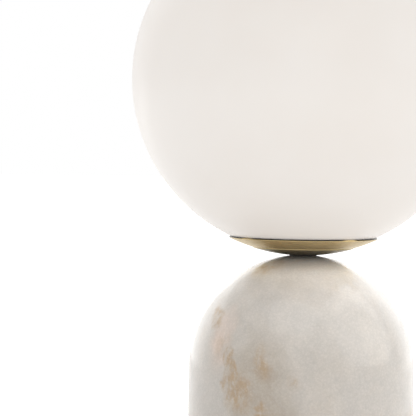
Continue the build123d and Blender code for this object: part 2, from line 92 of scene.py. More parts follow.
class Tree:
    """One material's node tree, with short calls for the nodes used here."""

    def __init__(self, name: str) -> None:
        """Start an empty material.

        Args:
            name: The material's name.
        """
        self.material = bpy.data.materials.new(name)
        self.material.use_nodes = True
        self.nodes = self.material.node_tree.nodes
        self.links = self.material.node_tree.links
        self.nodes.clear()
        self.place = self.add("TexCoord").outputs["Object"]

    def add(self, kind: str, inputs: dict | None = None, **settings: object) -> bpy.types.Node:
        """Add a node.

        Args:
            kind: The node's type name, without its usual first words.
            inputs: Input name or index to a socket, which is linked, or to a value, which is set.
            **settings: Properties of the node, such as its operation.

        Returns:
            The new node.
        """
        node = self.nodes.new("ShaderNode" + kind)
        for key, value in settings.items():
            setattr(node, key, value)
        for key, value in (inputs or {}).items():
            if isinstance(value, Socket):
                self.links.new(value, node.inputs[key])
            else:
                node.inputs[key].default_value = value
        return node

    def calc(self, operation: str, first: Socket | float, second: Socket | float = 0.0) -> Socket:
        """Return a Math node's result."""
        return self.add("Math", {0: first, 1: second}, operation=operation).outputs[0]

    def vector(
        self, operation: str, first: Socket | Triple, second: Socket | Triple = (0.0,) * 3
    ) -> Socket:
        """Return a Vector Math node's vector, or its number if the operation gives one."""
        node = self.add("VectorMath", {0: first, 1: second}, operation=operation)
        return node.outputs["Value" if operation in NUMBERS else "Vector"]

    def times(self, colour: Socket, factor: Socket | float) -> Socket:
        """Return a colour or vector multiplied by one factor."""
        return self.add("VectorMath", {0: colour, "Scale": factor}, operation="SCALE").outputs[0]

    def mix(self, share: Socket | float, first: Socket | Colour, second: Socket | Colour) -> Socket:
        """Return the colour that lies share of the way from the first to the second."""
        ends = (end if isinstance(end, Socket) else (*end, 1.0) for end in (first, second))
        return self.add("Mix", dict(zip((0, 6, 7), (share, *ends))), data_type="RGBA").outputs[2]

    def noise(
        self, scale: float, detail: float = 2.0, rough: float = 0.5, place: Socket | None = None
    ) -> Socket:
        """Return fractal noise from 0 to 1, with about scale features a metre."""
        inputs = {"Vector": place or self.place, "Scale": scale, "Detail": detail}
        return self.add("TexNoise", {**inputs, "Roughness": rough}).outputs["Fac"]

    def span(self, value: Socket, low: float, high: float, at_low: float, at_high: float) -> Socket:
        """Return value moved from the range low..high to at_low..at_high, eased and clamped."""
        inputs = {0: value, 1: low, 2: high, 3: at_low, 4: at_high}
        return self.add("MapRange", inputs, interpolation_type="SMOOTHSTEP").outputs[0]

    def spread(self, noise: Socket, at_low: float, at_high: float) -> Socket:
        """Return at_low to at_high as the noise runs through its usual values."""
        return self.span(noise, *USUAL, at_low, at_high)

    def gloss(self, noise: Socket, polish: float, margin: Point) -> Socket:
        """Return a roughness that strays from polish by the two margins as the noise runs."""
        return self.spread(noise, polish + margin[0], polish + margin[1])

    def pattern(self, pattern: Pattern, place: Socket | None = None) -> Socket:
        """Return a pattern's noise moved through its ramp."""
        return self.span(self.noise(*pattern.noise, place), *pattern.ramp)

    def cells(self, scale: float) -> Socket:
        """Return the distance from the hearts of irregular cells, scale of them a metre."""
        return self.add("TexVoronoi", {"Vector": self.place, "Scale": scale}).outputs["Distance"]

    def stretched(self, factors: Triple, place: Socket | None = None) -> Socket:
        """Return the place multiplied along each axis by factors."""
        return self.vector("MULTIPLY", place or self.place, factors)

    def warped(self, scale: float, reach: float) -> Socket:
        """Push the place about by noise.

        Args:
            scale: Features of the push a metre.
            reach: Largest push in metres.

        Returns:
            The new coordinates.
        """
        push = self.add("TexNoise", {"Vector": self.place, "Scale": scale, "Detail": 3.0})
        centred = self.vector("SUBTRACT", push.outputs["Color"], (0.5,) * 3)
        return self.vector("ADD", self.place, self.times(centred, reach * 2))

    def bump(self, height: Socket, depth: float) -> Socket:
        """Return normals bumped by a height of 0 to 1 that stands for depth metres."""
        return self.add("Bump", {"Height": height, "Strength": 1.0, "Distance": depth}).outputs[0]

    def axis_distance(self) -> Socket:
        """Return the distance from the lamp's axis in metres."""
        return self.vector("LENGTH", self.stretched((1.0, 1.0, 0.0)))

    def height(self) -> Socket:
        """Return the height above the table in metres."""
        return self.add("SeparateXYZ", {0: self.place}).outputs["Z"]

    def off(self, value: Socket, middle: float) -> Socket:
        """Return how far a value is from a middle, either way."""
        return self.calc("ABSOLUTE", self.calc("SUBTRACT", value, middle))

    def finish(self, inputs: dict) -> Material:
        """Return the material, closed with a Principled surface of these inputs."""
        self.add("OutputMaterial", {"Surface": self.add("BsdfPrincipled", inputs).outputs[0]})
        return self.material


# ---- Finishes ----


@dataclass(frozen=True)
class Stain:
    """A soft cloud in the stone: its centre and half widths in millimetres, and its depth."""

    centre: Triple
    reach: Triple
    depth: float = 1.0


@dataclass(frozen=True)
class Marble:
    """Polished light marble, mottled grey and cream, with dusky, peach and ochre clouds."""

    name: str = "marble"
    cool: Colour = (0.468, 0.438, 0.404)
    warm: Colour = (0.490, 0.453, 0.410)
    ochre: Colour = (0.37, 0.248, 0.128)
    vein: Colour = (0.42, 0.37, 0.32)
    crystal: Colour = (0.66, 0.62, 0.58)
    dusk: Colour = (0.385, 0.335, 0.277)
    peach: Colour = (0.645, 0.530, 0.468)
    # Painted light: tints from the lower stone up to its crown, which is painted paler where the
    # dish and globe shade it.
    below_crown_tint: Colour = (0.98, 0.985, 0.985)
    crown_light_tint: Colour = (1.35, 1.385, 1.43)
    polish: float = 0.36
    margin: Point = (-0.03, 0.06)
    smears: Point = (60.0, 4.0)
    stain_rough: float = 0.08
    pits: Point = (900.0, 3.0)
    pit_depth: float = 1e-5
    drift: Point = (40.0, 0.012)
    stain_drift: Point = (90.0, 0.006)
    softness: float = 1.5
    heart: float = 0.65
    ochre_share: float = 0.72
    peach_share: float = 0.9
    streaks: Triple = (1.0, 1.0, 0.5)
    # Painted light: the direction and heights of the paler crown, and a further painted lightening
    # at its very top.
    crown_light_axis: Triple = (0.15, 0.10, 0.98)
    crown_light_heights: Ramp = (0.105, 0.135, 0.0, 1.0)
    crown_top_light: Ramp = (0.126, 0.134, 1.0, 1.22)
    vein_noise: Triple = (15.0, 5.0, 0.6)
    vein_ramp: Ramp = (0.0, 0.018, 0.10, 0.0)
    sugar: float = 620.0
    sugar_ramp: Ramp = (0.0, 0.75, 1.035, 0.955)
    broad: Pattern = Pattern((24.0, 4.0, 0.55), (0.35, 0.68, 0.0, 1.0))
    mottle: Pattern = Pattern((70.0, 4.0, 0.6), (0.3, 0.6, 0.45, 1.0))
    broken: Pattern = Pattern((240.0, 6.0, 0.65), (0.38, 0.60, 0.28, 1.0))
    faint: Pattern = Pattern((26.0, 5.0, 0.6), (0.60, 0.80, 0.0, 0.30))
    flecks: Pattern = Pattern((420.0, 4.0, 0.6), (0.54, 0.70, 0.0, 0.20))
    cloud: Pattern = Pattern((95.0, 5.0, 0.62), (0.25, 0.75, 0.96, 1.04))
    grain: Pattern = Pattern((1300.0, 2.0, 0.5), (0.3, 0.7, 0.96, 1.04))
    stains: tuple[Stain, ...] = (
        Stain((-49.5, -29, 105), (4, 10, 6), 1.2),
        Stain((-47, -40, 92), (6, 12, 10), 0.35),
        Stain((-42.5, -49.5, 77), (3, 7, 14), 1.7),
        Stain((-24, -61, 82), (4, 9, 10), 0.65),
        Stain((-36, -54, 65), (6.5, 10, 11), 0.9),
        Stain((-23, -61, 48), (6, 9, 6), 1.6),
        Stain((-23.5, -60.5, 58.5), (3.5, 7, 3), 1.3),
        Stain((-6, -64.5, 72.5), (4, 7, 3.5), 0.4),
        Stain((-22, -17, 134), (13, 12, 5), 0.55),
        Stain((44, 46, 92), (15, 15, 24)),
        Stain((8, 64, 58), (18, 12, 14)),
        Stain((62, -14, 40), (9, 15, 13)),
    )
    blushes: tuple[Stain, ...] = (
        Stain((-25, -60, 52), (17, 20, 44), 0.95),
        Stain((-46, -44, 98), (9, 20, 22), 0.35),
        Stain((30, 56, 84), (26, 24, 40), 0.8),
        Stain((58, 28, 36), (20, 24, 26), 0.6),
    )
    peaches: tuple[Stain, ...] = (
        Stain((-47, -44, 95), (8, 14, 18), 0.7),
        Stain((38, 50, 84), (12, 14, 26), 0.7),
        Stain((4, 64, 62), (16, 14, 20), 0.6),
    )

    def near(self, tree: Tree, place: Socket, stains: Sequence[Stain], share: float) -> Socket:
        """Join soft clouds of the stone.

        Args:
            tree: The material's tree.
            place: Coordinates in which the clouds lie.
            stains: The clouds.
            share: Result at their hearts.

        Returns:
            0 outside every cloud, rising to the share.
        """
        total: Socket | float = 0.0
        for stain in stains:
            inputs = {
                "Vector": place,
                "Location": tuple(v * MM for v in stain.centre),
                "Scale": tuple(v * MM * self.softness for v in stain.reach),
            }
            within = tree.add("Mapping", inputs, vector_type="TEXTURE").outputs[0]
            ball = tree.add("TexGradient", {"Vector": within}, gradient_type="SPHERICAL")
            depth = tree.calc("MULTIPLY", ball.outputs["Fac"], stain.depth)
            total = tree.calc("MAXIMUM", depth, total)
        return tree.span(total, 0.0, self.heart, 0.0, share)

    def ground(self, tree: Tree, place: Socket) -> Socket:
        """Mix the stone's greys and creams, its faint veins and its broad clouds.

        Args:
            tree: The material's tree.
            place: Coordinates that drift about.

        Returns:
            The colour.
        """
        colour = tree.mix(tree.pattern(self.broad, place), self.cool, self.warm)
        vein = tree.span(tree.off(tree.noise(*self.vein_noise, place), 0.5), *self.vein_ramp)
        colour = tree.mix(vein, colour, self.vein)
        mottle = tree.pattern(self.mottle, place)
        tones = (self.blushes, 1.0, self.dusk), (self.peaches, self.peach_share, self.peach)
        for clouds, share, tone in tones:
            near = self.near(tree, place, clouds, share)
            colour = tree.mix(tree.calc("MULTIPLY", near, mottle), colour, tone)
        return colour

    def stained(self, tree: Tree, place: Socket, colour: Socket) -> tuple[Socket, Socket]:
        """Lay the ochre, broken into streaks and flecked, and paint light on the stone, paler at
        the crown.

        Args:
            tree: The material's tree.
            place: Coordinates that drift about.
            colour: The stone's colour.

        Returns:
            The new colour, and how strongly the ochre shows.
        """
        cloud = self.near(tree, tree.warped(*self.stain_drift), self.stains, 1.0)
        broken = tree.pattern(self.broken, tree.stretched(self.streaks))
        stain = tree.calc("MULTIPLY", cloud, broken)
        stain = tree.calc("MAXIMUM", stain, tree.pattern(self.faint))
        colour = tree.mix(tree.calc("MULTIPLY", stain, self.ochre_share), colour, self.ochre)
        flecks = tree.calc("MULTIPLY", tree.pattern(self.flecks), cloud)
        colour = tree.mix(flecks, colour, self.crystal)
        # Painted light: the stone is lightened towards its crown, and again at its top.
        crown_share = tree.span(tree.vector("DOT_PRODUCT", place, self.crown_light_axis), *self.crown_light_heights)
        colour = tree.vector("MULTIPLY", colour, tree.mix(crown_share, self.below_crown_tint, self.crown_light_tint))
        return tree.times(colour, tree.span(tree.height(), *self.crown_top_light)), stain

    def build(self) -> Material:
        """Build the material.

        Returns:
            The material.
        """
        tree = Tree(self.name)
        place = tree.warped(*self.drift)
        colour, stain = self.stained(tree, place, self.ground(tree, place))
        sugar = tree.span(tree.cells(self.sugar), *self.sugar_ramp)
        fine = tree.calc("MULTIPLY", sugar, tree.pattern(self.grain))
        fine = tree.calc("MULTIPLY", tree.pattern(self.cloud, place), fine)
        smear = tree.gloss(tree.noise(*self.smears), self.polish, self.margin)
        return tree.finish({
            "Base Color": tree.times(colour, fine),
            "Roughness": tree.calc("ADD", smear, tree.calc("MULTIPLY", stain, self.stain_rough)),
            "Normal": tree.bump(tree.noise(*self.pits), self.pit_depth),
            "Subsurface Weight": 0.5,
            "Subsurface Radius": (1.0, 0.85, 0.7),
            "Subsurface Scale": 0.006,
            "Coat Weight": 0.6,
            "Coat Roughness": 0.10,
        })


@dataclass(frozen=True)
class TurnedMetal:
    """Metal turned or spun about the lamp's axis, with its fine rings and an aged tone."""

    name: str
    bright: Colour
    aged: Colour
    polish: float
    margin: Point = (-0.03, 0.05)
    rings: float = 2600.0
    ring_detail: float = 4.0
    ring_depth: float = 4e-6
    ring_tone: Point = (0.94, 1.05)
    ring_slope: float = 1.7
    patina: float = 55.0
    border: float = 0.0001
    handled: Pattern = Pattern((190.0, 4.0, 0.5), (0.3, 0.75, 0.0, 0.07))

    def toned(self, tree: Tree, colour: Socket) -> Socket:
        """Return the metal's colour where a kind of brass has painted shade in places; here it
        hasn't.
        """
        return colour

    def build(self) -> Material:
        """Build the material.

        Returns:
            The material.
        """
        tree = Tree(self.name)
        climb = tree.calc("MULTIPLY", tree.height(), self.ring_slope)
        along = tree.calc("ADD", tree.axis_distance(), climb)
        inputs = {"W": along, "Scale": self.rings, "Detail": self.ring_detail}
        ring = tree.add("TexNoise", inputs, noise_dimensions="1D").outputs["Fac"]
        age = tree.pattern(Pattern((self.patina, 5.0, 0.6), (0.35, 0.7, 0.0, 1.0)))
        colour = tree.mix(age, self.bright, self.aged)
        colour = self.toned(tree, tree.times(colour, tree.spread(ring, *self.ring_tone)))
        rough = tree.gloss(ring, self.polish, self.margin)
        return tree.finish({
            "Base Color": colour,
            "Metallic": 1.0,
            "Roughness": tree.calc("ADD", tree.pattern(self.handled), rough),
            "Normal": tree.bump(ring, self.ring_depth),
        })


@dataclass(frozen=True)
class DishBrass(TurnedMetal):
    """Spun brass with painted shade, black on its hollow side and lip, lifted at two painted
    glints.

    The painted shade ends at a distance from the globe's centre, a height on the axis.
    """

    centre: float = 0.0
    # Painted shade: within this distance of the globe's centre the brass is painted black, for the
    # shadow in the gap between the globe and the dish.
    painted_shade_reach: float = 0.10104
    black: Colour = (0.020, 0.015, 0.010)
    # Painted glints: two spots on the lip where the painted shade is lifted, standing for where the
    # lamps light the lip.
    rubbed: tuple[Triple, ...] = ((0.0255, -0.0345, 0.149), (-0.033, -0.0275, 0.149))
    glint_reach: Point = (0.00248, 0.0062)
    glint_shade_share: float = 0.15

    def toned(self, tree: Tree, colour: Socket) -> Socket:
        """Paint shade on the brass, lifted round the painted glints.

        Args:
            tree: The material's tree.
            colour: The brass's colour.

        Returns:
            The new colour.
        """
        away = tree.vector("DISTANCE", tree.place, (0.0, 0.0, self.centre))
        inside = tree.span(away, self.painted_shade_reach - self.border, self.painted_shade_reach, 1.0, 0.0)
        # Painted glints: the painted shade is lifted round each spot on the lip.
        for point in self.rubbed:
            gap = tree.vector("DISTANCE", tree.place, point)
            left = tree.span(gap, *self.glint_reach, self.glint_shade_share, 1.0)
            inside = tree.calc("MULTIPLY", inside, left)
        return tree.mix(inside, colour, self.black)


@dataclass(frozen=True)
class FootBrass(TurnedMetal):
    """Turned brass with painted shade, lightest on its edge band and darkest down at the neck by
    the stone.
    """

    neck: float = 0.0
    edge: float = 0.0
    shades: Point = (0.18, 0.45)
    edge_shade: float = 0.58
    edge_width: float = 0.0005

    def toned(self, tree: Tree, colour: Socket) -> Socket:
        """Paint shade on the brass, from its edge band down to the neck.

        Args:
            tree: The material's tree.
            colour: The brass's colour.

        Returns:
            The new colour.
        """
        # Painted shade: the whole foot is darkened, least on its edge band, most at the neck by the
        # stone.
        recess_shade = tree.span(tree.height(), self.neck, self.edge, *self.shades)
        edge = tree.span(tree.height(), self.edge - self.border, self.edge, 0.0, self.edge_shade)
        return tree.times(colour, tree.calc("MAXIMUM", recess_shade, edge))


@dataclass(frozen=True)
class PlatedMetal:
    """Plated or tempered sheet steel: a fine crystalline mottle with rubbed places."""

    name: str
    light: Colour
    dark: Colour
    polish: float
    spangle: float = 420.0
    contrast: Point = (0.3, 1.3)
    margin: Point = (-0.05, 0.09)
    patches: Point = (130.0, 4.0)
    skin: Point = (3200.0, 3.0)
    skin_depth: float = 6e-6

    def build(self) -> Material:
        """Build the material.

        Returns:
            The material.
        """
        tree = Tree(self.name)
        patch = tree.noise(*self.patches)
        contrast = tree.spread(patch, *self.contrast)
        share = tree.calc("MULTIPLY", tree.cells(self.spangle), contrast)
        return tree.finish({
            "Base Color": tree.mix(share, self.light, self.dark),
            "Metallic": 1.0,
            "Roughness": tree.gloss(patch, self.polish, self.margin),
            "Normal": tree.bump(tree.noise(*self.skin), self.skin_depth),
        })


@dataclass(frozen=True)
class OpalGlass:
    """Blown opal glass with an even satin skin.

    The shell is opaque here, so its inside glows weakly for the daylight that such glass passes.
    """

    name: str
    glow: float = 0.0
    milk: Colour = (0.845, 0.805, 0.765)
    thin: Colour = (0.87, 0.84, 0.81)
    daylight: Colour = (1.0, 0.97, 0.93)
    polish: float = 0.34
    margin: Point = (-0.03, 0.04)
    clouds: Point = (9.0, 3.0)
    smears: Point = (45.0, 4.0)
    satin: Point = (220.0, 1.0)
    satin_depth: float = 8e-6

    def build(self) -> Material:
        """Build the material.

        Returns:
            The material.
        """
        tree = Tree(self.name)
        cloud = tree.spread(tree.noise(*self.clouds), 0.0, 1.0)
        return tree.finish({
            "Base Color": tree.mix(cloud, self.milk, self.thin),
            "Roughness": tree.gloss(tree.noise(*self.smears), self.polish, self.margin),
            "Normal": tree.bump(tree.noise(*self.satin), self.satin_depth),
            "IOR": 1.5,
            "Subsurface Weight": 0.2,
            "Subsurface Radius": (1.0, 0.95, 0.9),
            "Subsurface Scale": 0.004,
            "Emission Color": (*self.daylight, 1.0),
            "Emission Strength": self.glow,
        })


@dataclass(frozen=True)
class GroundGlass:
    """The ground edge of the globe: clear skins round the milky core, matt from the wheel."""

    name: str = "ground_glass"
    skin: Colour = (0.62, 0.66, 0.65)
    core: Colour = (0.88, 0.87, 0.85)
    middle: float = 0.03525
    core_ramp: Ramp = (0.0004, 0.0007, 1.0, 0.0)
    scratches: Point = (1800.0, 4.0)
    scratch_depth: float = 3e-5
    scratch_tone: Point = (0.92, 1.04)
    rough: Point = (0.5, 0.7)

    def build(self) -> Material:
        """Build the material.

        Returns:
            The material.
        """
        tree = Tree(self.name)
        layer = tree.span(tree.off(tree.axis_distance(), self.middle), *self.core_ramp)
        scratch = tree.noise(*self.scratches)
        colour = tree.mix(layer, self.skin, self.core)
        return tree.finish({
            "Base Color": tree.times(colour, tree.spread(scratch, *self.scratch_tone)),
            "Roughness": tree.spread(scratch, *self.rough),
            "Normal": tree.bump(scratch, self.scratch_depth),
        })


@dataclass(frozen=True)
class Moulded:
    """Moulded plastic, rubber, fibre or ceramic: a fine grain, faint marks and uneven gloss."""

    name: str
    colour: Colour
    shade: Colour
    polish: float
    grain: float = 1400.0
    grain_depth: float = 1.2e-5
    speckle: float = 0.05
    sheen: float = 0.0
    skin_margin: Point = (-0.04, 0.05)
    mark_margin: Point = (-0.03, 0.04)
    marks: Pattern = Pattern((80.0, 5.0, 0.6), (0.3, 0.72, 0.0, 1.0))

    def build(self) -> Material:
        """Build the material.

        Returns:
            The material.
        """
        tree = Tree(self.name)
        mark = tree.pattern(self.marks)
        skin = tree.noise(self.grain, 3.0, 0.6)
        colour = tree.mix(mark, self.colour, self.shade)
        rough = tree.gloss(skin, self.polish, self.skin_margin)
        rubbed = tree.span(mark, 0.0, 1.0, *self.mark_margin)
        return tree.finish({
            "Base Color": tree.times(colour, tree.gloss(skin, 1.0, (-self.speckle, self.speckle))),
            "Roughness": tree.calc("ADD", rough, rubbed),
            "Normal": tree.bump(skin, self.grain_depth),
            "Sheen Weight": self.sheen,
        })


@dataclass(frozen=True)
class Felt:
    """Dense wool felt: matted fibres, flecks of lighter wool and a soft sheen."""

    name: str = "wool_felt"
    wool: Colour = (0.040, 0.040, 0.044)
    fleck: Colour = (0.115, 0.112, 0.118)
    swirl: Point = (240.0, 0.004)
    fibre: Point = (2600.0, 700.0)
    fleck_ramp: Ramp = (0.56, 0.74, 0.0, 1.0)
    rough_ramp: Ramp = (0.4, 0.7, 0.88, 1.0)
    wear: Pattern = Pattern((60.0, 4.0, 0.5), (0.3, 0.7, 0.85, 1.15))
    mat_depth: float = 0.00018

    def build(self) -> Material:
        """Build the material.

        Returns:
            The material.
        """
        tree = Tree(self.name)
        swirl = tree.warped(*self.swirl)
        thin, long = self.fibre
        along = tree.noise(1.0, 5.0, 0.7, tree.stretched((thin, long, thin), swirl))
        across = tree.noise(1.0, 5.0, 0.7, tree.stretched((long, thin, thin), swirl))
        mat = tree.calc("MAXIMUM", along, across)
        colour = tree.mix(tree.span(mat, *self.fleck_ramp), self.wool, self.fleck)
        return tree.finish({
            "Base Color": tree.times(colour, tree.pattern(self.wear)),
            "Roughness": tree.span(mat, *self.rough_ramp),
            "Normal": tree.bump(mat, self.mat_depth),
            "Sheen Weight": 0.35,
            "Sheen Roughness": 0.5,
        })


@dataclass(frozen=True)
class ChipBoard:
    """White circuit board with amber light-emitting chips and faint tracks under its mask."""

    chip_top: float
    name: str = "chip_board"
    mask: Colour = (0.84, 0.845, 0.82)
    track: Colour = (0.74, 0.76, 0.72)
    amber: Colour = (0.78, 0.60, 0.16)
    track_radius: float = 0.0125
    track_ramp: Ramp = (0.0005, 0.0007, 1.0, 0.0)
    track_depth: float = 2e-5
    chip_edge: Point = (0.00062, 0.00058)
    skin: Point = (900.0, 3.0)
    skin_tone: Point = (0.95, 1.03)
    rough: Point = (0.34, 0.46)

    def build(self) -> Material:
        """Build the material.

        Returns:
            The material.
        """
        tree = Tree(self.name)
        track = tree.span(tree.off(tree.axis_distance(), self.track_radius), *self.track_ramp)
        low, high = (self.chip_top - depth for depth in self.chip_edge)
        chips = tree.span(tree.height(), low, high, 0.0, 1.0)
        colour = tree.mix(chips, tree.mix(track, self.mask, self.track), self.amber)
        skin = tree.noise(*self.skin)
        return tree.finish({
            "Base Color": tree.times(colour, tree.spread(skin, *self.skin_tone)),
            "Roughness": tree.spread(skin, *self.rough),
            "Normal": tree.bump(track, self.track_depth),
        })


def build_finishes() -> dict[str, Material]:
    """Build every finish of the lamp once.

    Returns:
        Each finish's name and its material.
    """
    aged = ((0.56, 0.44, 0.225), (0.47, 0.365, 0.185), 0.31)
    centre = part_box("glass_globe")[1].z - GLOBE_RADIUS * MM
    neck, edge = (corner.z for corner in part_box("foot_disc"))
    kinds = (
        Marble(),
        Felt(),
        GroundGlass(),
        OpalGlass("opal_glass"),
        OpalGlass("opal_inside", 0.1),
        ChipBoard(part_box("led_board")[1].z),
        DishBrass("dish_brass", *aged, centre=centre),
        FootBrass("foot_brass", *aged, neck=neck, edge=edge - FootBrass.edge_width),
        TurnedMetal("bright_brass", (0.80, 0.62, 0.30), (0.68, 0.50, 0.23), 0.24, patina=120.0),
        TurnedMetal("nickel", (0.76, 0.74, 0.70), (0.66, 0.64, 0.61), 0.22, patina=160.0),
        PlatedMetal("zinc_plate", (0.66, 0.68, 0.70), (0.50, 0.52, 0.55), 0.34),
        PlatedMetal("spring_steel", (0.46, 0.47, 0.50), (0.33, 0.34, 0.37), 0.28, 700.0),
        PlatedMetal("tinned_lead", (0.62, 0.62, 0.63), (0.48, 0.48, 0.49), 0.42),
        Moulded("black_rubber", (0.026, 0.026, 0.027), (0.040, 0.039, 0.038), 0.66, sheen=0.05),
        Moulded("black_fibre", (0.042, 0.036, 0.031), (0.060, 0.052, 0.044), 0.72, 2400.0, 3e-5),
        Moulded("black_phenolic", (0.014, 0.014, 0.016), (0.020, 0.020, 0.021), 0.36),
        Moulded("white_steatite", (0.80, 0.775, 0.72), (0.73, 0.70, 0.64), 0.55, 1100.0, 3e-5),
        Moulded("black_glass", (0.020, 0.015, 0.026), (0.032, 0.024, 0.040), 0.12, 500.0, 1e-5),
        Moulded("white_plastic", (0.80, 0.80, 0.785), (0.77, 0.765, 0.75), 0.32, speckle=0.015),
        Moulded("opal_plastic", (0.85, 0.85, 0.83), (0.83, 0.825, 0.805), 0.42, 1e3, 3e-6, 0.012),
    )
    return {kind.name: kind.build() for kind in kinds}


# ---- Mesh making ----


def rounded(corners: Sequence[Triple], steps: int = 5, side_share: float = 0.48) -> list[Point]:
    """Round the corners of an outline.

    Args:
        corners: (radius from the axis, height, corner radius) in millimetres, in order.
        steps: Faces on each rounded corner.
        side_share: The most that one corner takes of a side.

    Returns:
        The outline's points.
    """
    points: list[Point] = []
    count = len(corners)
    for index, (x, z, size) in enumerate(corners):
        here = Vector((x, z))
        if size <= 0.0:
            points.append((x, z))
            continue
        back = Vector(corners[index - 1][:2]) - here
        ahead = Vector(corners[(index + 1) % count][:2]) - here
        reach = size / math.tan(back.angle(ahead) / 2)
        reach = min(reach, back.length * side_share, ahead.length * side_share)
        start, end = here + back.normalized() * reach, here + ahead.normalized() * reach
        for step in range(steps + 1):
            t = step / steps
            bend = start * (1 - t) ** 2 + here * 2 * t * (1 - t) + end * t**2
            points.append((bend.x, bend.y))
    return points


def arc(radius: float, centre_z: float, start: float, end: float, steps: int) -> list[Point]:
    """Return points of a circle round a point of the axis, in degrees up from straight down."""
    angles = [math.radians(start + (end - start) * step / steps) for step in range(steps + 1)]
    return [(radius * math.sin(a), centre_z - radius * math.cos(a)) for a in angles]


def levels(low: float, high: float, count: int) -> list[float]:
    """Return the heights that split low to high into count steps."""
    return [low + (high - low) * step / count for step in range(count + 1)]


def fade(height: float, low: float, high: float, run: float) -> float:
    """Return how full a thread is: 1, falling to 0 over the run at its ends."""
    return max(0.0, min(1.0, (height - low) / run, (high - height) / run))


def turn(
    name: str, outline: Sequence[Point], segments: int, sharp: float = 35.0,
    shape: Callable[[float, float, float], float] | None = None,
) -> bpy.types.Mesh:
    """Revolve a closed outline about the lamp's axis.

    Args:
        name: The mesh's name.
        outline: (radius, height) points in millimetres, against the clock.
        segments: Faces round the axis.
        sharp: Angle in degrees above which an edge shades sharp.
        shape: Given (radius, height, angle), returns the radius to use there.

    Returns:
        The mesh.
    """
    grid = bmesh.new()
    rings: list[list[bmesh.types.BMVert]] = []
    for radius, height in outline:
        if radius < ON_AXIS:
            rings.append([grid.verts.new((0.0, 0.0, height * MM))])
            continue
        ring = []
        for step in range(segments):
            angle = TURN * step / segments
            reach = (shape(radius, height, angle) if shape else radius) * MM
            place = (reach * math.cos(angle), reach * math.sin(angle), height * MM)
            ring.append(grid.verts.new(place))
        rings.append(ring)
    for low, high in zip(rings, rings[1:] + rings[:1]):
        for step in range(segments if len(low) + len(high) > 2 else 0):
            ahead = (step + 1) % segments
            if len(low) == 1:
                grid.faces.new((low[0], high[ahead], high[step]))
            elif len(high) == 1:
                grid.faces.new((low[step], low[ahead], high[0]))
            else:
                grid.faces.new((low[step], low[ahead], high[ahead], high[step]))
    bmesh.ops.recalc_face_normals(grid, faces=grid.faces)
    mesh = bpy.data.meshes.new(name)
    grid.to_mesh(mesh)
    grid.free()
    mesh.shade_smooth()
    mesh.set_sharp_from_angle(angle=math.radians(sharp))
    return mesh


def link(
    mesh: bpy.types.Mesh, materials: Sequence[Material], body: Body, node: str
) -> Piece:
    """Put a finished mesh in the scene, as a piece of the mesh's name.

    Args:
        mesh: The mesh, in the frame's metres.
        materials: Its finishes.
        body: The body it rides on.
        node: The CAD node it stands for.

    Returns:
        The new object.
    """
    for material in materials:
        mesh.materials.append(material)
    piece = bpy.data.objects.new(mesh.name, mesh)
    bpy.context.scene.collection.objects.link(piece)
    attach(piece, body.value)
    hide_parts(node)
    return piece


# ---- Sub-assemblies ----


@dataclass
class SubAssembly:
    """A group of pieces: CAD nodes, each with a finish, and pieces that are made here."""

    looks: ClassVar[dict[str, str]] = {}
    finishes: dict[str, Material]
    sharp: float = 50.0

    def made(self) -> list[Piece]:
        """Return the pieces made here."""
        return []

    def build(self) -> list[str]:
        """Dress the CAD nodes and make the other pieces.

        Returns:
            The pieces' names.
        """
        for node, finish in self.looks.items():
            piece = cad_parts[node]
            if not piece.material_slots:
                piece.data.materials.append(self.finishes[finish])
            for place in piece.material_slots:
                place.material = self.finishes[finish]
        return [*self.looks, *(piece.name for piece in self.made())]


@dataclass
class StoneBase(SubAssembly):
    """The marble base with its felt pad and the cable's rubber bush."""

    looks = {"marble_base": "marble", "cable_grommet": "black_rubber"}
    pad_radius: float = 61.0
    pad_thickness: float = 2.0
    lower_edge: float = 0.7
    upper_edge: float = 0.3
    rim: float = 1.5
    rings: int = 40
    segments: int = 360
    sharp: float = 60.0
    fuzz: float = 0.16
    trim: float = 0.4
    calm: float = 0.9
    waves: tuple[Triple, ...] = ((17, 0.3, 1.3), (41, 0.18, 0.0), (97, 0.15, 0.0))

    def made(self) -> list[Piece]:
        """Build the felt disc with its soft cut edge.

        Returns:
            The disc.
        """
        rim, top = self.pad_radius, self.pad_thickness
        low = rim * self.calm
        inner = [rim * ring / self.rings for ring in range(1, self.rings - 1)]
        outline = [(0.0, 0.0), *((radius, 0.0) for radius in inner)]
        outline += rounded([
            (rim - self.rim, 0.0, 0), (rim, 0.0, self.lower_edge),
            (rim, top, self.upper_edge), (rim - self.rim, top, 0),
        ])
        outline += [*((radius, top) for radius in reversed(inner)), (0.0, top)]

        def cut_edge(radius: float, height: float, angle: float) -> float:
            """Return the radius with the cut edge's wander."""
            swing = sum(size * math.sin(angle * count + start) for count, size, start in self.waves)
            return radius + self.fuzz * (swing * fade(radius, low, math.inf, rim - low) - self.trim)

        mesh = turn("felt_pad", outline, self.segments, self.sharp, cut_edge)
        pad = link(mesh, [self.finishes["wool_felt"]], Body.BASE, "base_pad")
        return [pad]


